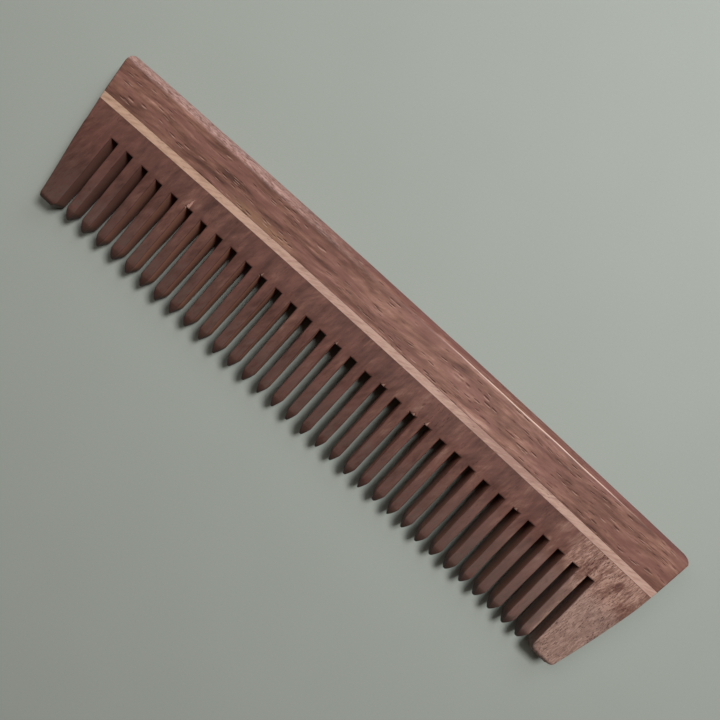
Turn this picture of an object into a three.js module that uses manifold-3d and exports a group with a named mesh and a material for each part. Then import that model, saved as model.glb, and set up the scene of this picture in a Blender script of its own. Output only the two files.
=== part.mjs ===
// A wooden beard and dressing comb, lying flat. A dark spine, a pale accent strip and a dark
// tooth plate are glued edge to edge, and the blank is then shaped, sawn and sanded as one.
// Millimetres. +X runs along the comb, +Y points to its back and +Z up; the teeth point to -Y.
import * as THREE from "three";
import { mergeVertices } from "three/addons/utils/BufferGeometryUtils.js";
import Module from "manifold-3d";

const wasm = await Module();
wasm.setup();

// The blank
const LENGTH = 190.6; // along the back, to where its corners would be if they were square
const THICKNESS = 8; // of the spine and of the plate as far as the slots
const BOW = 0.95; // how far the middle of the back stands proud of its two ends
const SPINE_WIDTH = 12;
const STRIP_WIDTH = 2;
const GLUE_FILM = 0.1; // cured glue in each of the two joints
const PLATE_BAND = 6.85; // solid wood from the strip to the slots, at mid length
const BAND_RISE = 0.55; // how much narrower that band is at the ends, on average
const BAND_SKEW = 0.45; // half of the difference between its right and left ends

// The rounded back, the sloping ends and the planed taper of the teeth
const BACK_ROUND = 2.2; // width of the domed back edge, seen from above
const LEFT_CORNER = 1.3;
const RIGHT_CORNER = 2.6;
const LEFT_INSET = 5.7; // how far the left end comes in from the back to the tips
const RIGHT_INSET = 7.4;
const LEFT_BULGE = 0.15; // how far the left end curves out of a straight line
const RIGHT_BULGE = 0.9;
const TAPER_LEAD = 1.6; // how far above the slots the faces start to fall
const TOOTH_THICKNESS = 5; // of a tooth where its point begins

// The teeth
const SLOT_PITCH = 5.0875;
const SLOT_WIDTH = 2.15; // the saw cut at its square end
const SLOT_MOUTH = 2.45; // the cut where the points begin
const LEFT_GUARD = 8.05; // wide end tooth, from the end edge to the first slot
const RIGHT_GUARD = 11; // the least width of the other one
const TOOTH_LENGTH = 23.1;
const TOOTH_SKEW = 0.5; // half of the difference between the right and left teeth
const POINT_LENGTH = 2.7; // the pointed end of a tooth, seen from above
const POINT_SIDE_LENGTH = 2.8; // the same point seen from the end of the comb
const POINT_WIDTH = 0.5; // what is left at the very tip, across and through
const GUARD_INNER_CORNER = 1.9;
const GUARD_OUTER_CORNER = 1.4;

// How finely the curves are divided
const BOW_STEPS = 16;
const BACK_STEPS = 6;
const CORNER_STEPS = 4;
const END_STEPS = 4;
const POINT_STEPS = 3;
const MARGIN = 5; // by which a cutting shape stands past the blank
const SKIN = 0.05; // by which a curved face stands past the plan that trims it

const strip_start = SPINE_WIDTH + GLUE_FILM;
const strip_end = strip_start + STRIP_WIDTH;
const plate_start = strip_end + GLUE_FILM;

// A place on the blank is (u, v): u along the comb from its middle, v from the back to the tips.
function rootLine(u) {
  const t = (2 * u) / LENGTH;
  return plate_start + PLATE_BAND - BAND_RISE * t * t + BAND_SKEW * t;
}

function tipLine(u) {
  return rootLine(u) + TOOTH_LENGTH + (TOOTH_SKEW * 2 * u) / LENGTH;
}

// The crown of the comb bends every straight line along it and fans the teeth very slightly.
function bend(u, v) {
  const curvature = (8 * BOW) / (LENGTH * LENGTH);
  return new THREE.Vector2(u * (1 - curvature * v), -v - (curvature * u * u) / 2);
}

// Turns a closed geometry into a solid that can be cut.
function toSolid(geometry) {
  const bare = geometry.clone();
  bare.deleteAttribute("normal");
  bare.deleteAttribute("uv");
  const merged = mergeVertices(bare, 1e-5);
  const vertProperties = new Float32Array(merged.attributes.position.array);
  const triVerts = new Uint32Array(merged.index.array);
  return new wasm.Manifold(new wasm.Mesh({ numProp: 3, vertProperties, triVerts }));
}

function toMesh(solid, name, material) {
  const cut = solid.getMesh();
  const geometry = new THREE.BufferGeometry();
  geometry.setAttribute("position", new THREE.BufferAttribute(cut.vertProperties, 3));
  geometry.setIndex(new THREE.BufferAttribute(cut.triVerts, 1));
  geometry.computeVertexNormals();
  const mesh = new THREE.Mesh(geometry, material);
  mesh.name = name;
  return mesh;
}

// An upright slab from a plan in (u, v), standing past both faces of the blank.
function slabFromPlan(plan) {
  const shape = new THREE.Shape(plan.map(([u, v]) => bend(u, v)));
  const depth = THICKNESS + 2 * MARGIN;
  const slab = new THREE.ExtrudeGeometry(shape, { depth, bevelEnabled: false });
  slab.translate(0, 0, -MARGIN);
  return toSolid(slab);
}

function curvePoints(curve, steps) {
  return curve.getPoints(steps).map((point) => [point.x, point.y]);
}

// One end of the comb from its back corner to the corner of its guard tooth.
function endEdge(side, corner, inset, bulge) {
  const half = LENGTH / 2;
  const tip = tipLine(side * (half - inset));
  const slope = inset / tip;
  const start = new THREE.Vector2(side * (half - slope * corner), corner);
  const stop_v = tip - GUARD_OUTER_CORNER;
  const stop = new THREE.Vector2(side * (half - slope * stop_v), stop_v);
  const control = start.clone().add(stop).multiplyScalar(0.5);
  control.x += side * 2 * bulge;
  const rounding = new THREE.QuadraticBezierCurve(
    new THREE.Vector2(side * (half - corner), 0),
    new THREE.Vector2(side * half, 0),
    start,
  );
  const edge = new THREE.QuadraticBezierCurve(start, control, stop);
  const foot = new THREE.QuadraticBezierCurve(
    stop,
    new THREE.Vector2(side * (half - slope * tip), tip),
    new THREE.Vector2(side * (half - slope * tip - GUARD_OUTER_CORNER), tip),
  );
  return [
    ...curvePoints(rounding, CORNER_STEPS),
    ...curvePoints(edge, END_STEPS).slice(1),
    ...curvePoints(foot, CORNER_STEPS).slice(1),
  ];
}

// One wall of a slot, from the tip of the tooth beside it up to the slot's square end.
function slotWall(u, side, guarded) {
  const tip = tipLine(u + (side * SLOT_PITCH) / 2);
  const point = guarded ? GUARD_INNER_CORNER : POINT_LENGTH;
  const mouth = u + (side * SLOT_MOUTH) / 2;
  const reach = guarded ? GUARD_INNER_CORNER : (SLOT_PITCH - SLOT_MOUTH - POINT_WIDTH) / 2;
  const nose = new THREE.QuadraticBezierCurve(
    new THREE.Vector2(mouth + side * reach, tip),
    new THREE.Vector2(mouth + side * reach * 0.25, tip - point * 0.25),
    new THREE.Vector2(mouth, tip - point),
  );
  return [...curvePoints(nose, POINT_STEPS), [u + (side * SLOT_WIDTH) / 2, rootLine(u)]];
}

// The row of saw cuts fills the length that the two guard teeth leave.
function slotCentres() {
  const depth = rootLine(0) / tipLine(0);
  const first = -LENGTH / 2 + LEFT_INSET * depth + LEFT_GUARD + SLOT_WIDTH / 2;
  const last = LENGTH / 2 - RIGHT_INSET * depth - RIGHT_GUARD - SLOT_WIDTH / 2;
  const count = Math.floor((last - first) / SLOT_PITCH) + 1;
  return Array.from({ length: count }, (_, i) => first + i * SLOT_PITCH);
}

// The whole comb seen from above: the back, both ends and every tooth.
function combPlan() {
  const straight_from = -LENGTH / 2 + LEFT_CORNER;
  const straight_to = LENGTH / 2 - RIGHT_CORNER;
  const plan = [];
  for (let i = 1; i < BOW_STEPS; i += 1) {
    plan.push([THREE.MathUtils.lerp(straight_from, straight_to, i / BOW_STEPS), 0]);
  }
  plan.push(...endEdge(1, RIGHT_CORNER, RIGHT_INSET, RIGHT_BULGE));
  const centres = slotCentres();
  const last = centres.length - 1;
  for (let i = last; i >= 0; i -= 1) {
    plan.push(...slotWall(centres[i], 1, i === last));
    plan.push(...slotWall(centres[i], -1, i === 0).reverse());
  }
  plan.push(...endEdge(-1, LEFT_CORNER, LEFT_INSET, LEFT_BULGE).reverse());
  return plan;
}

// The comb seen from its end, swept along it: a domed back, flat faces and tapering teeth.
function bodySweep() {
  const middle = THICKNESS / 2;
  const dome = (middle * middle + BACK_ROUND * BACK_ROUND) / (2 * BACK_ROUND);
  const dome_angle = Math.asin(middle / dome);
  const upper = [];
  for (let i = 0; i <= BACK_STEPS; i += 1) {
    const angle = (dome_angle * i) / BACK_STEPS;
    upper.push([dome - dome * Math.cos(angle) - SKIN, dome * Math.sin(angle)]);
  }
  const root = rootLine(0);
  const tip = tipLine(0);
  const tooth = TOOTH_THICKNESS / 2;
  upper.push([root - TAPER_LEAD, middle]);
  const nose = new THREE.QuadraticBezierCurve(
    new THREE.Vector2(tip - POINT_SIDE_LENGTH, tooth),
    new THREE.Vector2(tip - POINT_SIDE_LENGTH * 0.25, tooth * 0.75),
    new THREE.Vector2(tip + 4 * SKIN, POINT_WIDTH / 2),
  );
  upper.push(...curvePoints(nose, POINT_STEPS));
  const lower = upper.slice(1).reverse().map(([v, z]) => [v, -z]);
  const section = new THREE.Shape([...upper, ...lower].map(([v, z]) => new THREE.Vector2(v, z)));
  const span = LENGTH + 2 * MARGIN;
  const sweep = new THREE.ExtrudeGeometry(section, {
    depth: span,
    steps: BOW_STEPS,
    bevelEnabled: false,
  });
  const places = sweep.attributes.position;
  for (let i = 0; i < places.count; i += 1) {
    const u = span / 2 - places.getZ(i);
    const straight = places.getX(i);
    const flat_to = root - TAPER_LEAD;
    const stretch = (tipLine(u) - flat_to) / (tip - flat_to);
    const v = straight <= flat_to ? straight : flat_to + (straight - flat_to) * stretch;
    const place = bend(u, v);
    places.setXYZ(i, place.x, place.y, middle + places.getY(i));
  }
  return toSolid(sweep);
}

// The part of the blank between two lines along it, where one piece is glued to the next.
function band(from, to) {
  const edge = (v) =>
    Array.from({ length: BOW_STEPS + 1 }, (_, i) => [
      THREE.MathUtils.lerp(-LENGTH / 2 - MARGIN, LENGTH / 2 + MARGIN, i / BOW_STEPS),
      v,
    ]);
  return slabFromPlan([...edge(from), ...edge(to).reverse()]);
}

const spine_wood = new THREE.MeshStandardMaterial({
  color: 0x7c5645,
  roughness: 0.55,
  metalness: 0,
});
const strip_wood = new THREE.MeshStandardMaterial({
  color: 0xc9a78a,
  roughness: 0.55,
  metalness: 0,
});
const plate_wood = new THREE.MeshStandardMaterial({
  color: 0x6a473b,
  roughness: 0.6,
  metalness: 0,
});
const glue = new THREE.MeshStandardMaterial({
  color: 0x4a3226,
  roughness: 0.5,
  metalness: 0,
});

const blank = slabFromPlan(combPlan()).intersect(bodySweep());
const pieces = [
  ["spine", spine_wood, -MARGIN, SPINE_WIDTH],
  ["spine_glue_line", glue, SPINE_WIDTH, strip_start],
  ["accent_strip", strip_wood, strip_start, strip_end],
  ["plate_glue_line", glue, strip_end, plate_start],
  ["tooth_plate", plate_wood, plate_start, tipLine(LENGTH / 2) + MARGIN],
];

const comb = new THREE.Group();
for (const [name, material, from, to] of pieces) {
  comb.add(toMesh(blank.intersect(band(from, to)), name, material));
}

// The origin is under the middle of the comb, on the surface that it lies on.
const extent = new THREE.Box3().setFromObject(comb);
const middle = extent.getCenter(new THREE.Vector3());
comb.position.set(-middle.x, -middle.y, -extent.min.z);

export default comb;
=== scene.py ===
import math
import random

import bmesh
import bpy
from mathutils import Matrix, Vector, noise


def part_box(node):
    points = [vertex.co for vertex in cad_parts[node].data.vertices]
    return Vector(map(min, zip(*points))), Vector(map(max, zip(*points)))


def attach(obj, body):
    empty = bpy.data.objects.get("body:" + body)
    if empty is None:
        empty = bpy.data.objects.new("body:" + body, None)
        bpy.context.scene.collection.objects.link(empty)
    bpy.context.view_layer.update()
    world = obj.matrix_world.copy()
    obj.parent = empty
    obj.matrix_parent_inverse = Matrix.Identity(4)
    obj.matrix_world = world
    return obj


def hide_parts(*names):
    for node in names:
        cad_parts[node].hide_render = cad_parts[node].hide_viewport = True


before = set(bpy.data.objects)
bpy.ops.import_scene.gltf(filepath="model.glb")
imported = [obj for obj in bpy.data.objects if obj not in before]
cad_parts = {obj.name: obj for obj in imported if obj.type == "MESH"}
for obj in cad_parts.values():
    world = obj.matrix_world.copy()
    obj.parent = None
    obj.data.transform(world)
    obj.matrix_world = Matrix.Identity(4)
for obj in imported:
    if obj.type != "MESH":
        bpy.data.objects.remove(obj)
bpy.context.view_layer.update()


# ---- The spine ----------------------------------------------------------------------------------
# The comb's back is a board of brown, coarse-pored rosewood with its grain along the comb. It is
# glued up with the other boards first, then its back edge is worked to a shallow dome that is wide
# and soft at the left and narrow and crisp at the right, and every edge is eased with fine paper.
MM = 0.001
LENGTH = 190.6 * MM  # of the blank along its back
BOW = 0.95 * MM  # the middle of the back stands this far proud of its ends
SPINE_WIDTH = 12 * MM
DOME_LEFT = 2.7 * MM  # width of the dome seen from above, at the left end
DOME_RIGHT = 1.75 * MM
DOME_WANDER = 0.14 * MM  # how far that width strays, and over what length
DOME_WANDER_SPACING = 11 * MM
LEFT_END = {"inset": 5.7 * MM, "corner": 1.3 * MM, "corner_reach": 1.2 * MM, "bulge": 0.15 * MM}
RIGHT_END = {"inset": 7.4 * MM, "corner": 2.7 * MM, "corner_reach": 2.1 * MM, "bulge": 0.9 * MM}
FOOT_ROUND = 1.4 * MM  # the outer corner of each guard tooth
COMB_DEPTH = 44.15 * MM  # from the back to the tips
END_ZONE = 9 * MM  # the ends' slope is taken up within this much of the spine and the strip
EASE = 0.34 * MM  # radius that the sandpaper leaves on the edges
SPINE_EASE = 0.42 * MM  # the same on the spine, which is handled most
SANDING_WAVE = 0.05 * MM  # height of the low waves that hand sanding leaves
FLAT = 1e-6  # what lies within this of a plane counts as on it
SHARP = math.radians(20)  # edges that turn by more than this get eased
CREASE = math.radians(40)  # faces that meet at more than this are shaded apart

spine_low, spine_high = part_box("spine")
thickness = spine_high.z - spine_low.z
curvature = 8 * BOW / LENGTH**2


def rounding(distance, length, reach):
    """How far a rounded corner comes in at some distance from the side that it runs into."""
    if distance >= length:
        return 0
    return reach * (1 - math.sqrt(max(distance, 0) / length)) ** 2


def end_reach(end, depth):
    """How far from the middle the comb ends, at a depth below the back."""
    slope = end["inset"] / COMB_DEPTH
    share = min(1, max(0, (depth - end["corner"]) / (COMB_DEPTH - FOOT_ROUND - end["corner"])))
    sanded = rounding(depth, end["corner"], end["corner_reach"])
    sanded += rounding(COMB_DEPTH - depth, FOOT_ROUND, FOOT_ROUND)
    return LENGTH / 2 - slope * depth + 4 * end["bulge"] * share * (1 - share) - sanded


left_corner = LEFT_END["corner"]
middle_x = spine_low.x + end_reach(LEFT_END, left_corner) * (1 - curvature * left_corner)


def divide(bm, place, normal):
    """Cuts new edges through the whole mesh along a plane, and takes nothing away."""
    everything = bm.verts[:] + bm.edges[:] + bm.faces[:]
    bmesh.ops.bisect_plane(bm, geom=everything, dist=FLAT, plane_co=place, plane_no=normal)


def spread(count):
    """The places along the board that divide its length into count equal parts."""
    return [LENGTH * (index / count - 0.5) for index in range(1, count)]


def board(from_depth, to_depth, places_along, depths, heights=()):
    """A straight board between two joints, back edge at y = 0, divided where it is to be shaped."""
    bm = bmesh.new()
    bmesh.ops.create_cube(bm, size=1)
    bmesh.ops.scale(bm, vec=(LENGTH, to_depth - from_depth, thickness), verts=bm.verts)
    centre = (0, -(from_depth + to_depth) / 2, thickness / 2)
    bmesh.ops.translate(bm, vec=centre, verts=bm.verts)
    for along in places_along:
        divide(bm, (along, 0, 0), (1, 0, 0))
    for depth in depths:
        divide(bm, (0, -depth, 0), (0, 1, 0))
    for height in heights:
        divide(bm, (0, 0, height), (0, 0, 1))
    return bm


def ease_edges(bm, joints, radius=EASE):
    """Rounds every sharp outer edge, except the ones that lie in a glued joint."""
    bm.normal_update()
    sharp = []
    for edge in bm.edges:
        in_joint = any(all(abs(vert.co.y + joint) < FLAT for vert in edge.verts) for joint in joints)
        if edge.is_convex and edge.calc_face_angle(0) > SHARP and not in_joint:
            sharp.append(edge)
    bmesh.ops.bevel(
        bm, geom=sharp, offset=radius, offset_type="OFFSET", segments=3, profile=0.5,
        affect="EDGES", material=-1, clamp_overlap=True,
    )


def slope_ends(bm, left_from, right_from):
    """Slides what lies beyond two places along the board to the comb's sloping ends."""
    for vert in bm.verts:
        along, depth = vert.co.x, -vert.co.y
        if along < left_from:
            share = (left_from - along) / (LENGTH / 2 + left_from)
            vert.co.x = left_from - share * (end_reach(LEFT_END, depth) + left_from)
        if along > right_from:
            share = (along - right_from) / (LENGTH / 2 - right_from)
            vert.co.x = right_from + share * (end_reach(RIGHT_END, depth) - right_from)


def crown(bm):
    """Bends the straight comb to its crown and sets it where the frame has it."""
    for vert in bm.verts:
        along, depth = vert.co.x, -vert.co.y
        vert.co.x = middle_x + along * (1 - curvature * depth)
        vert.co.y = spine_high.y - depth - curvature * along**2 / 2
        vert.co.z += spine_low.z


def hand_sanded(bm, spacing, joint):
    """Very low waves that hand sanding leaves everywhere but in the glued joint at this depth."""
    bm.normal_update()
    joined = {vert for vert in bm.verts if abs(vert.co.y + joint) < FLAT}
    for vert in bm.verts:
        if vert not in joined:
            vert.co += vert.normal * SANDING_WAVE * noise.noise(vert.co / spacing)


def finish_piece(bm, name, node, material):
    """Makes the mesh an object that stands for its CAD node, and marks its eased edges and sides."""
    bmesh.ops.recalc_face_normals(bm, faces=bm.faces)
    bm.normal_update()
    eased = bm.verts.layers.float.new("eased")
    steep = bm.verts.layers.float.new("steep")
    for vert in bm.verts:
        level = max(abs(face.normal.z) for face in vert.link_faces)
        vert[eased] = 2 * level * math.sqrt(max(0, 1 - level**2))
        vert[steep] = 1 - level
    mesh = bpy.data.meshes.new(name)
    bm.to_mesh(mesh)
    bm.free()
    mesh.shade_smooth()
    mesh.set_sharp_from_angle(angle=CREASE)
    mesh.materials.append(material)
    piece = bpy.data.objects.new(name, mesh)
    bpy.context.scene.collection.objects.link(piece)
    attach(piece, "root")
    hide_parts(node)
    return piece


class Tone:
    """A value in a material. Sums written on tones add Math nodes; make adds any other node."""

    def __init__(self, tree, socket=None):
        self.tree = tree
        self.socket = socket

    def make(self, kind, settings=None, sockets=None, output=0):
        """Any node: its type, what is set on it first, and the values or links of its sockets."""
        node = self.tree.nodes.new(kind)
        for name, setting in (settings or {}).items():
            if name == "stops":
                ramp = node.color_ramp.elements
                for index, (place, colour) in enumerate(setting):
                    stop = ramp[index] if index < 2 else ramp.new(place)
                    stop.position = place
                    stop.color = (*colour, 1)
            else:
                setattr(node, name, setting)
        for name, value in (sockets or {}).items():
            if isinstance(value, Tone):
                self.tree.links.new(value.socket, node.inputs[name])
            else:
                node.inputs[name].default_value = value
        return Tone(self.tree, node.outputs[output] if node.outputs else None)

    def marked(self, name):
        """The piece's own mark of this name."""
        return self.make("ShaderNodeAttribute", {"attribute_name": name}, output=2)

    def axis(self, index):
        """One of these coordinates alone: 0 for x and 1 for y."""
        return self.make("ShaderNodeSeparateXYZ", {}, {0: self}, output=index)

    def vectors(self, operation, first, second):
        return self.make("ShaderNodeVectorMath", {"operation": operation}, {0: first, 1: second})

    def sum(self, operation, first, second):
        return self.make("ShaderNodeMath", {"operation": operation}, {0: first, 1: second})

    def __add__(self, other):
        return self.sum("ADD", self, other)

    def __radd__(self, other):
        return self.sum("ADD", other, self)

    def __sub__(self, other):
        return self.sum("SUBTRACT", self, other)

    def __rsub__(self, other):
        return self.sum("SUBTRACT", other, self)

    def __mul__(self, other):
        return self.sum("MULTIPLY", self, other)

    def __rmul__(self, other):
        return self.sum("MULTIPLY", other, self)

    def between(self, low, high):
        """0 below low, 1 above high and a smooth step from one to the other."""
        limits = {"Value": self, "From Min": low, "From Max": high}
        return self.make("ShaderNodeMapRange", {"interpolation_type": "SMOOTHSTEP"}, limits)

    def blend(self, colour, other):
        """Colour where this tone is 0 and other where it is 1."""
        sockets = {0: self, 6: colour, 7: other}
        return self.make("ShaderNodeMix", {"data_type": "RGBA"}, sockets, output=2)

    def stretched(self, size, turn=0.0, at=(0, 0, 0)):
        """These coordinates counted in lengths of size, along axes turned about the thickness."""
        sockets = {"Vector": self, "Location": at, "Rotation": (0, 0, turn), "Scale": size}
        return self.make("ShaderNodeMapping", {"vector_type": "TEXTURE"}, sockets)

    def cloud(self, size, turn=0.0, detail=2.0, roughness=0.5, at=(0, 0, 0)):
        """Soft noise whose patches are about size long, wide and thick."""
        sockets = {
            "Vector": self.stretched(size, turn, at), "Scale": 1.0,
            "Detail": detail, "Roughness": roughness,
        }
        return self.make("ShaderNodeTexNoise", {}, sockets)

    def pores(self, size, turn=0.0, width=0.2, at=(0, 0, 0)):
        """1 inside the wood's open vessels, one to each cell of size, and 0 between them."""
        sockets = {"Vector": self.stretched(size, turn, at), "Scale": 1.0, "Randomness": 1.0}
        return 1 - self.make("ShaderNodeTexVoronoi", {}, sockets).between(width * 0.5, width)

    def wavy(self, size, amount):
        """These coordinates pushed about by a slow noise, so that the grain isn't ruled."""
        sockets = {"Vector": self.stretched(size), "Scale": 1.0, "Detail": 1.0}
        push = self.make("ShaderNodeTexNoise", {}, sockets, output=1)
        level = self.vectors("SUBTRACT", push, (0.5, 0.5, 0.5))
        scaled = self.vectors("MULTIPLY", level, amount)
        return self.vectors("ADD", self, scaled)


def new_finish(name):
    """A new material and the tone of its object coordinates, in metres."""
    material = bpy.data.materials.new(name)
    material.use_nodes = True
    material.node_tree.nodes.clear()
    return material, Tone(material.node_tree).make("ShaderNodeTexCoord", output=3)


def close_finish(colour, roughness, specular, more=None):
    """The closing nodes of a material, with more of the shader's sockets where it needs them."""
    sockets = {"Base Color": colour, "Roughness": roughness, "Specular IOR Level": specular}
    shader = colour.make("ShaderNodeBsdfPrincipled", {}, {**sockets, **(more or {})})
    colour.make("ShaderNodeOutputMaterial", {}, {"Surface": shader})


OILED_GLOSS = 0.22  # specular level of lightly oiled wood


def timber_surface(colour, roughness, height, depth):
    """The closing nodes of a sanded, lightly oiled wood, with its pores and fibres in relief."""
    relief = {"Height": height, "Distance": depth, "Strength": 1.0}
    bump = height.make("ShaderNodeBump", {}, relief)
    close_finish(colour, roughness, OILED_GLOSS, {"Normal": bump})


ROSEWOOD = [  # from the darkest bands of the figure to the palest
    (0.0, (0.066, 0.026, 0.018)),
    (0.30, (0.125, 0.053, 0.037)),
    (0.55, (0.188, 0.087, 0.063)),
    (0.80, (0.275, 0.140, 0.106)),
    (1.0, (0.390, 0.225, 0.180)),
]
SPINE_COLOURS = {
    "rosy": (0.225, 0.098, 0.084, 1),
    "golden": (0.27, 0.15, 0.088, 1),
    "pore lip highlight": (0.42, 0.26, 0.21, 1),
    "pore": (0.046, 0.018, 0.013, 1),
    "raised fibre and sheen": (0.47, 0.305, 0.28, 1),
    "burnished": (0.16, 0.063, 0.059, 1),
    "arris_highlight": (0.70, 0.50, 0.43, 1),
    "end grain": (0.05, 0.022, 0.018, 1),
    "end edge": (0.035, 0.018, 0.014, 1),
}


def spine_timber():
    material, place = new_finish("spine_timber")
    x, y = place.axis(0), place.axis(1)
    grain = place.wavy((30 * MM, 8 * MM, 8 * MM), (0, 4.5 * MM, 2.6 * MM))
    figure = grain.cloud((26 * MM, 2.4 * MM, 3.0 * MM), turn=0.03, detail=3.0)
    mottle = grain.cloud((7 * MM, 1.7 * MM, 2.0 * MM), turn=0.12, detail=4.0, roughness=0.62)
    streaks = grain.cloud((8 * MM, 0.5 * MM, 0.8 * MM), turn=0.03, roughness=0.6)
    fibres = grain.cloud((2.2 * MM, 0.14 * MM, 0.18 * MM), roughness=0.6)

    crowding = grain.cloud((11 * MM, 1.7 * MM, 2.4 * MM), at=(9 * MM, 3 * MM, 0))
    crowded = crowding.between(0.45, 0.56)
    dash = (4.4 * MM, 0.50 * MM, 0.6 * MM)
    pores = grain.pores(dash, width=0.32) * crowded
    # beside each pore a pale dash: its raised lip in the relief, and a painted highlight in the
    # colour
    pore_lips_and_highlights = grain.pores(dash, width=0.31, at=(0.3 * MM, -0.22 * MM, 0)) * crowded
    scattered = grain.pores((4.6 * MM, 0.8 * MM, 0.9 * MM), width=0.2, at=(1 * MM, 0, 0))
    open_grain = pores + scattered * 0.45

    drift = place.cloud((38 * MM, 12 * MM, 14 * MM), detail=1.0, at=(31 * MM, 0, 0))
    tone = x.between(-100 * MM, 10 * MM) * 0.12 + (drift - 0.5) * 0.5 + (figure - 0.5) * 1.25
    tone = tone + (mottle - 0.5) * 1.35 + (streaks - 0.5) * 0.75 + 0.33
    colour = tone.make("ShaderNodeValToRGB", {"stops": ROSEWOOD}, {0: tone})
    rosy = grain.cloud((15 * MM, 3.0 * MM, 4 * MM), at=(0, 6 * MM, 0)).between(0.42, 0.64)
    colour = (rosy * 0.38).blend(colour, SPINE_COLOURS["rosy"])

    # one stretch left of the middle is more golden
    golden = x.between(-56 * MM, -46 * MM) * (1 - x.between(-37 * MM, -30 * MM))
    golden = golden * (1 - (y + (mottle - 0.5) * 2 * MM).between(11.4 * MM, 13.6 * MM))
    colour = (golden * 0.5).blend(colour, SPINE_COLOURS["golden"])
    # painted highlight: the pores' lips paler, as if catching the light
    colour = (pore_lips_and_highlights * 0.56).blend(colour, SPINE_COLOURS["pore lip highlight"])
    colour = (open_grain * 0.62).blend(colour, SPINE_COLOURS["pore"])

    # the dome of the back: raised fibres at the left, paler and greyer with a painted sheen, dark
    # and burnished at the right
    back = y.between(14 * MM, 18 * MM)
    side = place.marked("steep") * back
    fuzz = place.cloud((1.6 * MM, 0.42 * MM, 0.5 * MM), detail=3.0, roughness=0.7)
    leftward = 1 - x.between(-62 * MM, 0)
    fibres_and_sheen = y.between(19.1 * MM, 20.3 * MM) * leftward * ((fuzz - 0.5) * 3.8 + 0.68)
    colour = (fibres_and_sheen * 0.72).blend(colour, SPINE_COLOURS["raised fibre and sheen"])
    paler = x.between(20 * MM, 34 * MM) * (1 - x.between(52 * MM, 66 * MM))
    burnished = side.between(0.16, 0.34) * x.between(-45 * MM, 5 * MM) * (1 - paler * 0.45)
    colour = (burnished * 0.66).blend(colour, SPINE_COLOURS["burnished"])

    # painted highlight: a pale line along the dome's edge, right of the middle, where the lamp
    # glints on the eased arris
    arris_highlight = side.between(0.0, 0.02) * (1 - side.between(0.05, 0.09))
    arris_highlight = arris_highlight * x.between(6 * MM, 26 * MM) * (1 - x.between(56 * MM, 84 * MM))
    arris_highlight = arris_highlight * (0.9 + (streaks - 0.5) * 1.6)
    colour = (arris_highlight * 0.9).blend(colour, SPINE_COLOURS["arris_highlight"])

    # the two ends: dark end grain, and painted shade darkening their eased edges
    at_ends = 1 - y.between(17.2 * MM, 19.2 * MM)
    colour = (place.marked("steep") * at_ends * 0.5).blend(colour, SPINE_COLOURS["end grain"])
    end_edge_shade = place.marked("eased").between(0.1, 0.45) * at_ends
    colour = (end_edge_shade * 0.85).blend(colour, SPINE_COLOURS["end edge"])

    height = fibres * 0.3 + mottle * 0.2 - open_grain + pore_lips_and_highlights * 0.5 + fuzz * fibres_and_sheen * 0.5
    roughness = 0.5 + 0.2 * open_grain + (mottle - 0.5) * 0.2 + fibres_and_sheen * 0.15 + side * 0.25
    timber_surface(colour, roughness, height, 0.09 * MM)
    return material


def dome_radius(width):
    """Radius of the arc that spans the board's thickness and stands out by width."""
    return (thickness**2 / 4 + width**2) / (2 * width)


def make_spine():
    columns = spread(84)
    near_ends = [side * (LENGTH / 2 - 0.7 * MM) for side in (-1, 1)]
    rows = [depth * MM for depth in (3.3, 4.3, 5.8, 7.4, 9.0, 10.6)]
    steps = 14
    radius = dome_radius(DOME_LEFT)
    widest = math.asin(thickness / 2 / radius)
    angles = [widest * (2 * step / steps - 1) for step in range(1, steps)]
    heights = [thickness / 2 + radius * math.sin(angle) for angle in angles]
    bm = board(0, SPINE_WIDTH, columns + near_ends, rows, heights)

    for vert in bm.verts:
        if abs(vert.co.y) < FLAT:
            along = vert.co.x / LENGTH + 0.5
            width = DOME_LEFT + (DOME_RIGHT - DOME_LEFT) * along
            width += DOME_WANDER * noise.noise((vert.co.x / DOME_WANDER_SPACING, 0, 0))
            round_to = dome_radius(width)
            off_middle = vert.co.z - thickness / 2
            vert.co.y = math.sqrt(max(0, round_to**2 - off_middle**2)) - round_to
    ease_edges(bm, [SPINE_WIDTH], SPINE_EASE)
    slope_ends(bm, -LENGTH / 2 + END_ZONE, LENGTH / 2 - END_ZONE)
    hand_sanded(bm, 9 * MM, SPINE_WIDTH)
    crown(bm)
    spine = finish_piece(bm, "spine_board", "spine", spine_timber())


make_spine()


# ---- The pale strip and its two glue lines ------------------------------------------------------
# A 2 mm strip of pale, close-grained timber lies between the spine and the tooth plate. Each of its
# two joints shows as a hairline of cured brown glue that stands a touch below the sanded wood.
GLUE_FILM = 0.1 * MM
STRIP_WIDTH = 2 * MM
GLUE_SUNK = 0.02 * MM
STRIP_COLOURS = {
    "left pale": (0.475, 0.310, 0.225, 1),
    "right pale": (0.465, 0.300, 0.245, 1),
    "left deep": (0.340, 0.205, 0.145, 1),
    "right deep": (0.320, 0.186, 0.150, 1),
    "fibre": (0.26, 0.15, 0.115, 1),
    "fleck": (0.13, 0.06, 0.045, 1),
    "edge": (0.10, 0.05, 0.035, 1),
}
GLUE_DARK = (0.055, 0.022, 0.016, 1)
GLUE_AMBER = (0.14, 0.068, 0.048, 1)

strip_start = SPINE_WIDTH + GLUE_FILM
strip_end = strip_start + STRIP_WIDTH
plate_start = strip_end + GLUE_FILM


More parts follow.
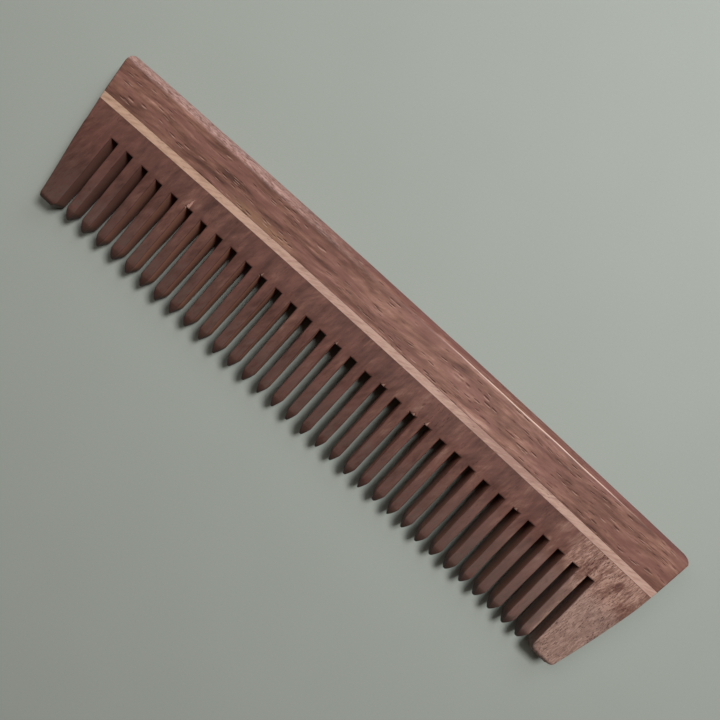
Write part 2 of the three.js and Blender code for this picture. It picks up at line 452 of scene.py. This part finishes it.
def strip_timber():
    material, place = new_finish("strip_timber")
    x = place.axis(0)
    grain = place.wavy((30 * MM, 5 * MM, 5 * MM), (0, 1.0 * MM, 0.8 * MM))
    slant = grain.cloud((3.6 * MM, 0.6 * MM, 0.9 * MM), turn=0.4, detail=3.0, roughness=0.6)
    bands = grain.cloud((20 * MM, 1.2 * MM, 1.6 * MM), at=(4 * MM, 0, 0))
    fibres = grain.cloud((1.6 * MM, 0.12 * MM, 0.16 * MM), turn=0.12)
    flecks = grain.pores((2.6 * MM, 0.42 * MM, 0.42 * MM), turn=0.2, width=0.22)
    crowding = place.cloud((9 * MM, 3 * MM, 3 * MM), detail=1.0, at=(0, 7 * MM, 0))

    rightward = x.between(-75 * MM, -15 * MM)
    pale = rightward.blend(STRIP_COLOURS["left pale"], STRIP_COLOURS["right pale"])
    deep = rightward.blend(STRIP_COLOURS["left deep"], STRIP_COLOURS["right deep"])
    dim = x.between(26 * MM, 36 * MM) * (1 - x.between(46 * MM, 56 * MM))
    mottle = (slant - 0.5) * 2.6 + (bands - 0.5) * 1.8 + dim * 0.5 + 0.34
    colour = mottle.between(0, 1).blend(pale, deep)
    colour = ((fibres - 0.5) * 0.7 + 0.12).blend(colour, STRIP_COLOURS["fibre"])
    crowded = crowding.between(0.50, 0.64)
    colour = (flecks * crowded * 0.7).blend(colour, STRIP_COLOURS["fleck"])
    # painted shade: the eased edges are darkened where they round away from the light
    rounded = place.marked("eased").between(0.3, 0.9)
    colour = (rounded * 0.5).blend(colour, STRIP_COLOURS["edge"])
    height = fibres * 0.4 + slant * 0.3 - flecks * 0.6
    timber_surface(colour, 0.5 + (slant - 0.5) * 0.2, height, 0.05 * MM)
    return material


def glue_film():
    material, place = new_finish("cured_glue")
    beads = place.cloud((2.2 * MM, 0.3 * MM, 0.5 * MM), detail=3.0)
    colour = beads.blend(GLUE_DARK, GLUE_AMBER)
    timber_surface(colour, 0.42 + beads * 0.2, beads, 0.03 * MM)
    return material


def make_layer(name, node, from_depth, to_depth, material, sunk=0.0):
    """One straight layer of the blank, its two faces lowered by what it is sunk."""
    bm = board(from_depth, to_depth, spread(48), [])
    ease_edges(bm, [from_depth, to_depth])
    slope_ends(bm, -LENGTH / 2 + END_ZONE, LENGTH / 2 - END_ZONE)
    for vert in bm.verts:
        vert.co.z = min(max(vert.co.z, sunk), thickness - sunk)
    crown(bm)
    layer = finish_piece(bm, name, node, material)


glue = glue_film()
make_layer("upper_glue_film", "spine_glue_line", SPINE_WIDTH, strip_start, glue, GLUE_SUNK)
make_layer("pale_strip", "accent_strip", strip_start, strip_end, strip_timber())
make_layer("lower_glue_film", "plate_glue_line", strip_end, plate_start, glue, GLUE_SUNK)


# ---- The tooth plate ----------------------------------------------------------------------------
# A board of darker timber with its grain along the teeth. Its outer part is planed thinner, 33 saw
# cuts leave 32 teeth between two wide guard teeth, and each tooth is filed to a blunt point. The saw
# tore small slivers out beside some of the cuts, where paler wood shows.
PLATE_BAND = 6.85 * MM  # solid wood from the strip to the saw cuts, at mid length
BAND_RISE = 0.55 * MM  # the cuts' ends lie on a curve that rises by this to both sides,
BAND_SKEW = 0.45 * MM  # and on a slant that drops by this to the right
TAPER_LEAD = 1.6 * MM  # the faces start to fall this far above the saw cuts
TOOTH_THICKNESS = 5 * MM
SLOT_PITCH = 5.0875 * MM
SLOT_WIDTH = 2.15 * MM
SLOT_MOUTH = 2.45 * MM  # the cuts widen to this where the points begin
SLOT_COUNT = 33
LEFT_GUARD = 8.05 * MM
TOOTH_LENGTH = 23.1 * MM
TOOTH_SKEW = 0.5 * MM  # the teeth get longer by this from the middle to the right end
POINT_LENGTH = 2.8 * MM  # filed length of a point, seen from above
POINT_SIDE_LENGTH = 3.0 * MM  # the same, seen from the side
GUARD_SIDE_LENGTH = 1.1 * MM
POINT_WIDTH = 0.5 * MM
POINT_FULLNESS = 0.45  # 0.5 would be a straight wedge, less is blunter
SIDE_FULLNESS = 0.3  # the same, seen from the side
GUARD_CORNER = 1.4 * MM
SLIPS = {"slot": 0.13 * MM, "root": 0.22 * MM, "tip": 0.16 * MM}  # how far hand work strays
SAW_WANDER = 0.09 * MM  # how far a saw cut's wall strays, and over what length
SAW_WANDER_SPACING = 7 * MM
CHIP_MARGIN = 0.6 * MM  # finer mesh reaches this far round a torn sliver
CHIPS = {  # slot number: (width at the cut, length into the band, depth), in mm
    5: (1.3, 2.9, 0.30),
    10: (0.9, 1.0, 0.25),
    15: (0.9, 0.9, 0.25),
    18: (1.9, 0.9, 0.30),
    20: (2.2, 0.9, 0.45),
    21: (1.2, 1.5, 0.30),
    27: (1.5, 0.8, 0.30),
}

root_depth = plate_start + PLATE_BAND
tip_depth = root_depth + TOOTH_LENGTH
first_slot = -LENGTH / 2 + LEFT_END["inset"] * root_depth / COMB_DEPTH + LEFT_GUARD + SLOT_WIDTH / 2
straight_slots = [first_slot + index * SLOT_PITCH for index in range(SLOT_COUNT)]

hand = random.Random(7)
slot_slips = [hand.uniform(-1, 1) * SLIPS["slot"] for _ in straight_slots]
root_slips = [hand.uniform(-1, 1) * SLIPS["root"] for _ in straight_slots]
tip_slips = [hand.uniform(-1, 1) * SLIPS["tip"] for _ in range(SLOT_COUNT + 1)]


def tooth_number(along):
    """Which tooth stands at a place along the comb, counted from the left guard tooth."""
    return min(SLOT_COUNT, max(0, math.floor((along - first_slot) / SLOT_PITCH) + 1))


def band_end(along):
    """Depth of the curve on which the saw cuts were set out to end."""
    share = 2 * along / LENGTH
    return root_depth - BAND_RISE * share**2 + BAND_SKEW * share


def root_at(along):
    """Depth at which the saw cuts do end."""
    place = min(SLOT_COUNT - 1.001, max(0, (along - first_slot) / SLOT_PITCH))
    before = int(place)
    slip = root_slips[before] + (root_slips[before + 1] - root_slips[before]) * (place - before)
    return band_end(along) + slip


def nose(distance, length, reach, full):
    """How far a filed point has come in at some distance from its tip."""
    if distance >= length:
        return 0
    rest = 1 - 2 * full
    share = (math.sqrt(full**2 + rest * max(distance, 0) / length) - full) / rest
    return reach * (1 - share) * (1 - rest * share)


def slot_wall(slot, side, root, depth, tip):
    """Where the wall on one side of a saw cut stands along the comb, at a depth."""
    guarded = (slot, side) in ((0, -1), (SLOT_COUNT - 1, 1))
    length = GUARD_CORNER if guarded else POINT_LENGTH
    reach = GUARD_CORNER if guarded else (SLOT_PITCH - SLOT_MOUTH - POINT_WIDTH) / 2
    opened = min(1, max(0, (depth - root) / (tip - length - root)))
    width = SLOT_WIDTH + (SLOT_MOUTH - SLOT_WIDTH) * opened
    wander = SAW_WANDER * noise.noise((slot + side * 0.3, depth / SAW_WANDER_SPACING, 0))
    off_centre = width / 2 + wander + nose(tip - depth, length, reach, POINT_FULLNESS)
    return straight_slots[slot] + slot_slips[slot] + side * off_centre


def half_thickness(tooth, depth, tip):
    """Half the plate's thickness at a depth, past its taper and its filed point."""
    taper_from = root_depth - TAPER_LEAD
    if depth <= taper_from:
        return thickness / 2
    guard = tooth in (0, SLOT_COUNT)
    length = GUARD_SIDE_LENGTH if guard else POINT_SIDE_LENGTH
    reach = GUARD_SIDE_LENGTH if guard else (TOOTH_THICKNESS - POINT_WIDTH) / 2
    share = min(1, (depth - taper_from) / (tip - POINT_SIDE_LENGTH - taper_from))
    straight = thickness / 2 + (TOOTH_THICKNESS - thickness) / 2 * share
    return straight - nose(tip - depth, length, reach, SIDE_FULLNESS)


def saw_and_file(bm):
    """Moves every point of the straight plate and its square teeth to the worked shape."""
    for vert in bm.verts:
        along, depth = vert.co.x, -vert.co.y
        root = root_at(along)
        tooth = tooth_number(along)
        tip = band_end(along)
        tip += TOOTH_LENGTH + TOOTH_SKEW * 2 * along / LENGTH + tip_slips[tooth]
        if depth <= root_depth + FLAT:
            down = plate_start + (depth - plate_start) * (root - plate_start) / PLATE_BAND
            near = min(range(SLOT_COUNT), key=lambda slot: abs(straight_slots[slot] - along))
            hold = max(0, 1 - abs(straight_slots[near] - along) / (SLOT_PITCH / 2))
            fade = (depth - plate_start) / PLATE_BAND
            vert.co.x = along + slot_slips[near] * min(1, 2 * hold) * fade
        else:
            down = root + (depth - root_depth) / TOOTH_LENGTH * (tip - root)
            left_edge = -end_reach(LEFT_END, depth)
            right_edge = end_reach(RIGHT_END, depth)
            left = -end_reach(LEFT_END, down)
            right = end_reach(RIGHT_END, down)
            if tooth > 0:
                left_edge = straight_slots[tooth - 1] + SLOT_WIDTH / 2
                left = slot_wall(tooth - 1, 1, root, down, tip)
            if tooth < SLOT_COUNT:
                right_edge = straight_slots[tooth] - SLOT_WIDTH / 2
                right = slot_wall(tooth, -1, root, down, tip)
            across = (along - left_edge) / (right_edge - left_edge)
            vert.co.x = left + across * (right - left)
        vert.co.y = -down
        off_middle = vert.co.z / (thickness / 2) - 1
        vert.co.z = thickness / 2 + off_middle * half_thickness(tooth, down, tip)


def tear_out(bm, torn, slot, width, length, deep):
    """Tears a tapering sliver out of the upper face, beside the left corner of a saw cut."""
    corner = straight_slots[slot] + slot_slips[slot] - SLOT_WIDTH / 2 + width * 0.25
    root = root_at(corner)
    below_root = CHIP_MARGIN / 2  # the sliver starts this far down the cut's wall

    def near(face):
        middle = face.calc_center_median()
        beside = abs(middle.x - corner - 0.15 * width) < 1.1 * width + CHIP_MARGIN
        above = -1.5 * CHIP_MARGIN < middle.y + root < length + CHIP_MARGIN
        return face.normal.z > 0.3 and beside and above

    for _ in range(2):
        bm.normal_update()
        edges = {edge for face in bm.faces if near(face) for edge in face.edges}
        bmesh.ops.subdivide_edges(bm, edges=list(edges), cuts=2, use_grid_fill=True)
    for vert in bm.verts:
        up = (vert.co.y + root + below_root) / (length + below_root)
        if vert.co.z < thickness * 0.8 or not 0 <= up < 1:
            continue
        ragged = 1 + 0.9 * noise.noise((vert.co.x / (0.35 * MM), vert.co.y / (0.9 * MM), slot))
        half_width = width / 2 * (1 - up) * ragged + 0.02 * MM
        across = abs(vert.co.x - corner - 0.3 * width * up) / half_width
        if across < 1:
            vert.co.z -= deep * (1 - across**4) * (1 - up**3) * (0.75 + 0.25 * ragged)
            vert[torn] = 1 - 0.5 * across**2


DARK_TIMBER = [  # from the darkest bands of the figure to the palest
    (0.0, (0.052, 0.019, 0.014)),
    (0.28, (0.092, 0.038, 0.029)),
    (0.52, (0.145, 0.064, 0.049)),
    (0.78, (0.240, 0.130, 0.100)),
    (1.0, (0.400, 0.245, 0.195)),
]
PLATE_COLOURS = {
    "sapwood": (0.36, 0.26, 0.225, 1),
    "worn": (0.29, 0.205, 0.175, 1),
    "rosy": (0.17, 0.068, 0.058, 1),
    "fibre": (0.080, 0.033, 0.025, 1),
    "pore": (0.040, 0.016, 0.012, 1),
    "lower_tooth_shade": (0.070, 0.046, 0.039, 1),
    "point_shade": (0.034, 0.027, 0.025, 1),
    "middle wall": (0.38, 0.182, 0.122, 1),
    "shaded outer wall": (0.165, 0.078, 0.060, 1),
    "edge": (0.040, 0.018, 0.015, 1),
    "torn": (0.42, 0.25, 0.20, 1),
}


def plate_timber():
    material, place = new_finish("plate_timber")
    x, y = place.axis(0), place.axis(1)
    grain = place.wavy((7 * MM, 16 * MM, 9 * MM), (2.6 * MM, 0, 1.6 * MM))
    figure = grain.cloud((3.6 * MM, 22 * MM, 5 * MM), turn=-0.12, detail=3.0)
    curl = grain.cloud((1.7 * MM, 4.6 * MM, 2.4 * MM), turn=-0.55, detail=3.0, roughness=0.6)
    streaks = grain.cloud((0.6 * MM, 7 * MM, 0.9 * MM), turn=-0.10, detail=3.0, roughness=0.6)
    fibres = grain.cloud((0.16 * MM, 1.7 * MM, 0.2 * MM), turn=-0.08, roughness=0.6)
    strands = grain.cloud((0.34 * MM, 2.2 * MM, 0.4 * MM), turn=-0.16, detail=3.0, roughness=0.7)
    pores = grain.pores((0.40 * MM, 2.2 * MM, 0.46 * MM), turn=-0.08, width=0.28)
    specks = grain.pores((0.36 * MM, 0.9 * MM, 0.40 * MM), turn=-0.08, width=0.30, at=(0, 1 * MM, 0))
    crowding = place.cloud((4 * MM, 9 * MM, 5 * MM), detail=1.0, at=(5 * MM, 0, 0))

    # the teeth stand below the band, and pale sapwood with a dark blotch lies at the right end
    below = 1 - y.between(-5 * MM, 1 * MM)
    edge = x - below * 5.5 * MM + (figure - 0.5) * 5 * MM + (streaks - 0.5) * 2 * MM
    sapwood = edge.between(69.4 * MM, 73.2 * MM)
    blotch_x = x.between(84.4 * MM, 85.2 * MM) * (1 - x.between(86.2 * MM, 87.2 * MM))
    blotch = blotch_x * y.between(2.4 * MM, 3.6 * MM) * (1 - y.between(4.8 * MM, 6.2 * MM))
    open_grain = pores * (crowding.between(0.4, 0.62) * 0.5 + sapwood * 0.5)
    open_grain = open_grain + specks * (crowding.between(0.5, 0.7) * 0.3 + sapwood * 0.6)

    tone = x.between(-60 * MM, 40 * MM) * 0.10 + (figure - 0.5) * 0.9 + (curl - 0.5) * 0.95
    tone = tone + (streaks - 0.5) * 0.5 + (strands - 0.5) * (0.25 + sapwood * 1.2 + below * 0.35)
    tone = tone + sapwood * (0.42 - blotch * 0.4) + 0.30
    colour = tone.make("ShaderNodeValToRGB", {"stops": DARK_TIMBER}, {0: tone})
    colour = (below * sapwood * 0.42).blend(colour, PLATE_COLOURS["sapwood"])
    wear = x.between(30 * MM, 50 * MM) * 0.16 + x.between(58 * MM, 76 * MM) * 0.26
    colour = (below * (1 - sapwood) * wear).blend(colour, PLATE_COLOURS["worn"])
    rosy = place.cloud((5 * MM, 9 * MM, 6 * MM), at=(0, 6 * MM, 0)).between(0.42, 0.62)
    colour = (rosy * 0.30 * (1 - sapwood)).blend(colour, PLATE_COLOURS["rosy"])
    colour = ((fibres - 0.5) * 0.8 + 0.18).blend(colour, PLATE_COLOURS["fibre"])
    colour = (open_grain * 0.72).blend(colour, PLATE_COLOURS["pore"])

    # towards the tips the teeth are painted darker and greyer with shade, and the points themselves
    # darker still with painted shade
    lower_tooth_shade = 0.46 + (curl - 0.5) * 1.2 + (strands - 0.5) * 1.5
    lower_tooth_shade = (1 - y.between(-16 * MM, 0)) * (1 - sapwood) * lower_tooth_shade
    colour = lower_tooth_shade.blend(colour, PLATE_COLOURS["lower_tooth_shade"])
    between_guards = x.between(-84 * MM, -82 * MM) * (1 - x.between(80 * MM, 82 * MM))
    point_shade = (1 - y.between(-22.4 * MM, -18.6 * MM)) * between_guards
    colour = (point_shade * 0.62).blend(colour, PLATE_COLOURS["point_shade"])

    # freshly sawn walls are warm raw wood, paler than the oiled faces, and their colour also carries
    # painted light: pale in the middle of the comb, with painted shade darker to both ends
    sawn = place.marked("sawn")
    outer = (x * x).between((54.8 * MM) ** 2, (80 * MM) ** 2)
    shade = outer + x.between(20 * MM, 40 * MM) * (1 - outer) * 0.35
    wall = shade.blend(PLATE_COLOURS["middle wall"], PLATE_COLOURS["shaded outer wall"])
    colour = (sawn * 0.85).blend(colour, wall)
    # painted shade: the eased edges are darkened where they round away from the light
    rounded = place.marked("eased").between(0.25, 0.9) * (1 - sawn)
    colour = (rounded * 0.42).blend(colour, PLATE_COLOURS["edge"])
    torn = place.marked("torn")
    bare = (torn * (0.55 + fibres * 0.9)).between(0.25, 0.75)
    colour = (bare * 0.75).blend(colour, PLATE_COLOURS["torn"])

    height = fibres * 0.4 + streaks * 0.25 + strands * sapwood * 0.6 - open_grain
    roughness = 0.55 + 0.2 * open_grain + (curl - 0.5) * 0.24 + bare * 0.2
    timber_surface(colour, roughness, height, 0.08 * MM)
    return material


def mark_sawn(bm, left, right):
    """Marks the walls that the saw left between two places, down to the filed points."""
    bm.normal_update()
    sawn = bm.verts.layers.float.new("sawn")
    for vert in bm.verts:
        if left < vert.co.x < right and vert.co.y < -plate_start - FLAT:
            level = max(abs(face.normal.z) for face in vert.link_faces)
            upright = min(1, max(0, (0.6 - level) / 0.25))
            before_point = (tip_depth - POINT_LENGTH + vert.co.y) / (2 * MM) + 0.5
            vert[sawn] = upright * min(1, max(0, before_point))


def carries_tooth(face):
    """Whether a face of the blank lies where the saw cuts end, and between two of them."""
    along = face.calc_center_median().x
    at_root = all(abs(vert.co.y + root_depth) < FLAT for vert in face.verts)
    return at_root and all(abs(along - slot) > SLOT_WIDTH / 2 for slot in straight_slots)


def make_tooth_plate():
    slot_edges = [slot + side * SLOT_WIDTH / 2 for slot in straight_slots for side in (-1, 1)]
    columns = list(slot_edges)
    for slot in straight_slots:
        columns += [slot + share * SLOT_WIDTH for share in (-0.17, 0.17)]
    for slot in straight_slots[:-1]:
        columns += [slot + SLOT_PITCH * share for share in (0.38, 0.5, 0.62)]
    for guard_from, guard_to in ((-LENGTH / 2, slot_edges[0]), (slot_edges[-1], LENGTH / 2)):
        columns += [guard_from + (guard_to - guard_from) * index / 12 for index in range(1, 12)]
    rows = [plate_start + PLATE_BAND * share for share in (0.15, 0.3, 0.45, 0.6, 0.75, 0.82, 0.9)]
    bm = board(plate_start, root_depth, columns, rows)

    teeth = [face for face in bm.faces if carries_tooth(face)]
    edges = {edge for face in teeth for edge in face.edges}
    grown = bmesh.ops.extrude_face_region(bm, geom=teeth + list(edges))["geom"]
    moved = [part for part in grown if isinstance(part, bmesh.types.BMVert)]
    bmesh.ops.translate(bm, vec=(0, -TOOTH_LENGTH, 0), verts=moved)
    ease_edges(bm, [plate_start])

    straight = TOOTH_LENGTH - POINT_SIDE_LENGTH
    stations = [straight * index / 16 for index in range(1, 17)]
    for share in (0.85, 0.7, 0.56, 0.43, 0.31, 0.2, 0.1):
        stations.append(TOOTH_LENGTH - POINT_SIDE_LENGTH * share)
    for station in stations:
        divide(bm, (0, -root_depth - station, 0), (0, 1, 0))
    slope_ends(bm, slot_edges[0], slot_edges[-1])
    saw_and_file(bm)
    hand_sanded(bm, 8 * MM, plate_start)
    mark_sawn(bm, slot_edges[0] - 3 * MM, slot_edges[-1] + 3 * MM)
    torn = bm.verts.layers.float.new("torn")
    for slot, (width, length, deep) in CHIPS.items():
        tear_out(bm, torn, slot, width * MM, length * MM, deep * MM)
    crown(bm)
    plate = finish_piece(bm, "tooth_board", "tooth_plate", plate_timber())


make_tooth_plate()


# ---- The table, the lamps and the camera --------------------------------------------------------
# The comb lies flat on a plain, pale grey-green laminate. A soft lamp stands above its right and
# back, a window behind it and a pale wall to its left add a little. The camera looks straight down.
LAMINATE_GREY = (0.285, 0.314, 0.288, 1)
LAMINATE_PALE = (0.315, 0.345, 0.320, 1)


def laminate():
    material, place = new_finish("table_laminate")
    cloud = place.cloud((30 * MM, 30 * MM, 30 * MM))
    grainy = place.cloud((0.6 * MM, 0.6 * MM, 0.6 * MM))
    colour = (cloud * 0.5 + grainy * 0.5).blend(LAMINATE_GREY, LAMINATE_PALE)
    close_finish(colour, roughness=0.6, specular=0.15)
    return material


def make_table():
    bm = bmesh.new()
    bmesh.ops.create_grid(bm, x_segments=4, y_segments=4, size=1.5)
    mesh = bpy.data.meshes.new("table_top")
    bm.to_mesh(mesh)
    bm.free()
    mesh.materials.append(laminate())
    table = bpy.data.objects.new("table_top", mesh)
    bpy.context.scene.collection.objects.link(table)


def lamp(name, place, size, watts, colour):
    """A square soft light at a place in millimetres, turned to the middle of the comb."""
    light = bpy.data.lights.new(name, "AREA")
    light.size = size * MM
    light.energy = watts
    light.color = colour
    holder = bpy.data.objects.new(name, light)
    holder.location = Vector(place) * MM
    holder.rotation_euler = holder.location.to_track_quat("Z", "Y").to_euler()
    bpy.context.scene.collection.objects.link(holder)


def make_camera():
    camera = bpy.data.cameras.new("camera")
    camera.lens = 36.1
    camera.sensor_width = 36
    camera.clip_start = 0.01
    holder = bpy.data.objects.new("camera", camera)
    holder.location = Vector((-0.6, 2.7, 188.8)) * MM
    holder.rotation_euler = (0, 0, math.radians(42.27))
    bpy.context.scene.collection.objects.link(holder)
    bpy.context.scene.camera = holder


make_table()
lamp("key_lamp", (150, 300, 590), 200, 4.1, (1.0, 0.985, 0.96))
lamp("back_window", (40, 350, 260), 200, 0.44, (0.92, 0.98, 1.0))
lamp("left_fill", (-260, 120, 420), 300, 0.55, (1.0, 0.95, 0.90))
room = bpy.data.worlds.new("room")
room.use_nodes = True
warm_walls = room.node_tree.nodes["Background"].inputs
warm_walls["Color"].default_value = (1.0, 0.74, 0.55, 1)
warm_walls["Strength"].default_value = 0.055
bpy.context.scene.world = room
bpy.context.scene.view_settings.view_transform = "Standard"
make_camera()
